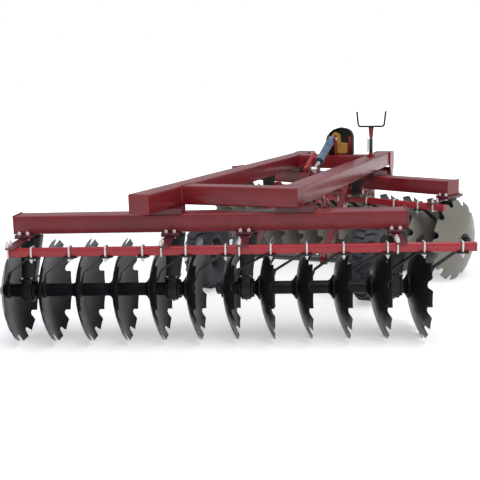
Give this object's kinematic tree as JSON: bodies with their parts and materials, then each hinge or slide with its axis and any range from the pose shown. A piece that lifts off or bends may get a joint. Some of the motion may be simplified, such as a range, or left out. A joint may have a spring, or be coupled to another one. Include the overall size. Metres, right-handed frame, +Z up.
{
  "type": "disc harrow",
  "caption": "Towed offset disc harrow: two rows of notched dished discs set in a V under a red tube frame, with transport wheels on a lifting arm and a drawbar on a stand",
  "frame": {"origin": "on the ground, under the middle of the outline", "axes": "+Z up, +Y the way it is towed, +X its right-hand side"},
  "size_m": [2.9638, 4.6226, 1.3339],
  "materials": {
    "frame_red": "satin",
    "bar_red": "satin",
    "disc_black": "satin",
    "hanger_black": "satin",
    "axle_steel": "dull",
    "pin_steel": "zinc plated",
    "cylinder_blue": "gloss",
    "rod_chrome": "polished",
    "wheel_rim": "satin",
    "tyre": "matt",
    "guard_black": "satin",
    "box_yellow": "satin"
  },
  "bodies": {
    "main_frame": {"frame_left_beam": "frame_red", "frame_right_beam": "frame_red", "frame_rear_cross": "frame_red", "frame_front_cross": "frame_red", "rear_gang_beam": "frame_red", "front_gang_beam": "frame_red", "rear_frame_pads": "frame_red", "front_frame_pads": "frame_red", "rear_bearings": "hanger_black", "front_bearings": "hanger_black", "rear_hangers": "hanger_black", "front_hangers": "hanger_black", "rear_scraper_bar": "bar_red", "front_scraper_bar": "bar_red", "rear_bar_brackets": "hanger_black", "front_bar_brackets": "hanger_black", "rear_scrapers": "hanger_black", "front_scrapers": "hanger_black", "rock_shaft_bearings": "frame_red", "mast": "frame_red", "mast_guard": "guard_black", "valve_box": "box_yellow", "drawbar_lugs": "frame_red", "drawbar_pins": "pin_steel", "fork_post": "frame_red", "fork_sleeve": "guard_black", "hose_fork": "guard_black", "pin_sockets": "frame_red"},
    "rear_left_gang": {"rear_left_discs": "disc_black", "rear_left_axle": "axle_steel"},
    "rear_right_gang": {"rear_right_discs": "disc_black", "rear_right_axle": "axle_steel"},
    "front_right_gang": {"front_right_discs": "disc_black", "front_right_axle": "axle_steel"},
    "front_left_gang": {"front_left_discs": "disc_black", "front_left_axle": "axle_steel"},
    "wheel_frame": {"rock_shaft": "frame_red", "wheel_arms": "frame_red", "wheel_axle": "axle_steel"},
    "left_wheel": {"left_wheel_rim": "wheel_rim", "left_wheel_tyre": "tyre"},
    "right_wheel": {"right_wheel_rim": "wheel_rim", "right_wheel_tyre": "tyre"},
    "lift_barrel": {"cylinder_barrel": "cylinder_blue", "lock_strut": "frame_red"},
    "lift_rod": {"cylinder_rod": "rod_chrome"},
    "drawbar": {"drawbar_arms": "frame_red", "drawbar_brace": "frame_red", "drawbar_tongue": "frame_red", "stand_sleeve": "frame_red"},
    "parking_leg": {"stand_leg": "frame_red"}
  },
  "joints": [
    {"name": "rear_left_gang_spin", "type": "hinge", "parent": "main_frame", "child": "rear_left_gang", "pos_m": [-0.0856, -1.6217, 0.31876], "axis": [0.9461, 0.3239, 0], "continuous": true},
    {"name": "rear_right_gang_spin", "type": "hinge", "parent": "main_frame", "child": "rear_right_gang", "pos_m": [-0.0856, -1.6217, 0.31876], "axis": [0.9461, 0.3239, 0], "continuous": true},
    {"name": "front_right_gang_spin", "type": "hinge", "parent": "main_frame", "child": "front_right_gang", "pos_m": [0.0314, 0.8403, 0.31876], "axis": [-0.9178, 0.3971, 0], "continuous": true},
    {"name": "front_left_gang_spin", "type": "hinge", "parent": "main_frame", "child": "front_left_gang", "pos_m": [0.0314, 0.8403, 0.31876], "axis": [-0.9178, 0.3971, 0], "continuous": true},
    {"name": "rock_shaft_lift", "type": "hinge", "parent": "main_frame", "child": "wheel_frame", "pos_m": [0.0164, 0.2563, 0.713], "axis": [1, 0, 0], "range_deg": [-11, 18]},
    {"name": "left_wheel_spin", "type": "hinge", "parent": "wheel_frame", "child": "left_wheel", "pos_m": [-0.6286, -0.4587, 0.287], "axis": [1, 0, 0], "continuous": true},
    {"name": "right_wheel_spin", "type": "hinge", "parent": "wheel_frame", "child": "right_wheel", "pos_m": [0.6614, -0.4587, 0.287], "axis": [1, 0, 0], "continuous": true},
    {"name": "barrel_swing", "type": "hinge", "parent": "main_frame", "child": "lift_barrel", "pos_m": [0.0164, 0.8693, 1.087], "axis": [1, 0, 0], "range_deg": [-3.5, 2.2]},
    {"name": "rod_slide", "type": "slide", "parent": "lift_barrel", "child": "lift_rod", "axis": [0, -0.9267, -0.3758], "range_m": [-0.024, 0.039]},
    {"name": "drawbar_hinge", "type": "hinge", "parent": "main_frame", "child": "drawbar", "pos_m": [0.0164, 1.3113, 0.763], "axis": [1, 0, 0], "range_deg": [-10, 20]},
    {"name": "stand_slide", "type": "slide", "parent": "drawbar", "child": "parking_leg", "axis": [0, 0, 1], "range_m": [0, 0.25]}
  ],
  "couplings": [
    {"joint": "barrel_swing", "follows": "rock_shaft_lift", "ratio": -0.1913},
    {"joint": "rod_slide", "follows": "rock_shaft_lift", "m_per_rad": 0.1227}
  ]
}
